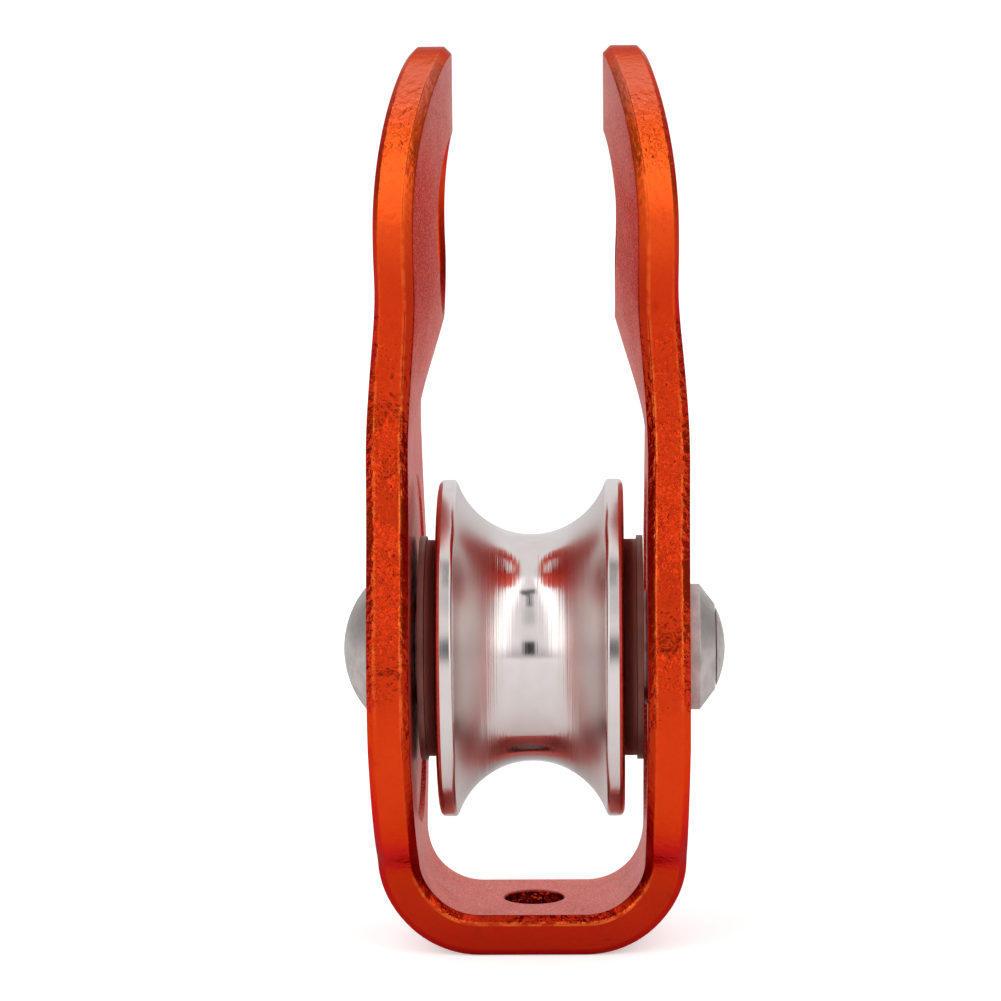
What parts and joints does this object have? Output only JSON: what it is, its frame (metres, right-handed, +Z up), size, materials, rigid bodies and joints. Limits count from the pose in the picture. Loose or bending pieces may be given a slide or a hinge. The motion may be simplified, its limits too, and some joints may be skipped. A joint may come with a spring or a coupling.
{
  "type": "rope pulley",
  "caption": "Fixed-cheek rope pulley: a bent alloy strap with two carabiner eyes holds a grooved sheave on shielded ball bearings and a riveted axle.",
  "frame": {"origin": "on the base's underside, in the middle, straight under the middle of the axle", "axes": "+X along the axle towards the rivet's collar, +Y across the cheeks along the rope, +Z up from the base to the carabiner eyes"},
  "size_m": [0.036, 0.0428, 0.0847],
  "materials": {
    "anodised": "orange-red anodised, satin, fine peened grain on its edges",
    "sheave_alloy": "polished, fine turning lines",
    "axle_steel": "satin, lightly tumbled",
    "bearing_steel": "ground and polished",
    "shield": "pressed sheet, satin",
    "brass": "machined",
    "washer": "dark brown, fine turning lines"
  },
  "bodies": {
    "frame": {"frame": "anodised", "axle_rivet": "axle_steel", "rivet_collar": "axle_steel", "bearing_sleeve": "axle_steel", "left_inner_spacer": "axle_steel", "right_inner_spacer": "axle_steel", "left_bearing_inner_ring": "bearing_steel", "right_bearing_inner_ring": "bearing_steel"},
    "sheave": {"sheave": "sheave_alloy", "left_side_washer": "washer", "right_side_washer": "washer", "left_bearing_outer_ring": "bearing_steel", "left_bearing_outer_shield": "shield", "left_bearing_inner_shield": "shield", "right_bearing_outer_ring": "bearing_steel", "right_bearing_outer_shield": "shield", "right_bearing_inner_shield": "shield"},
    "left_ball_cage": {"left_bearing_cage": "brass", "left_bearing_ball_1": "bearing_steel", "left_bearing_ball_2": "bearing_steel", "left_bearing_ball_3": "bearing_steel", "left_bearing_ball_4": "bearing_steel", "left_bearing_ball_5": "bearing_steel", "left_bearing_ball_6": "bearing_steel", "left_bearing_ball_7": "bearing_steel", "left_bearing_ball_8": "bearing_steel", "left_bearing_ball_9": "bearing_steel"},
    "right_ball_cage": {"right_bearing_cage": "brass", "right_bearing_ball_1": "bearing_steel", "right_bearing_ball_2": "bearing_steel", "right_bearing_ball_3": "bearing_steel", "right_bearing_ball_4": "bearing_steel", "right_bearing_ball_5": "bearing_steel", "right_bearing_ball_6": "bearing_steel", "right_bearing_ball_7": "bearing_steel", "right_bearing_ball_8": "bearing_steel", "right_bearing_ball_9": "bearing_steel"}
  },
  "joints": [
    {"name": "sheave_spin", "type": "hinge", "parent": "frame", "child": "sheave", "pos_m": [0, 0, 0.02805], "axis": [1, 0, 0], "continuous": true},
    {"name": "left_cage_spin", "type": "hinge", "parent": "frame", "child": "left_ball_cage", "pos_m": [-0.00735, 0, 0.02805], "axis": [1, 0, 0], "continuous": true},
    {"name": "right_cage_spin", "type": "hinge", "parent": "frame", "child": "right_ball_cage", "pos_m": [0.00735, 0, 0.02805], "axis": [1, 0, 0], "continuous": true}
  ],
  "couplings": [
    {"joint": "left_cage_spin", "follows": "sheave_spin", "ratio": 0.5833},
    {"joint": "right_cage_spin", "follows": "sheave_spin", "ratio": 0.5833}
  ]
}
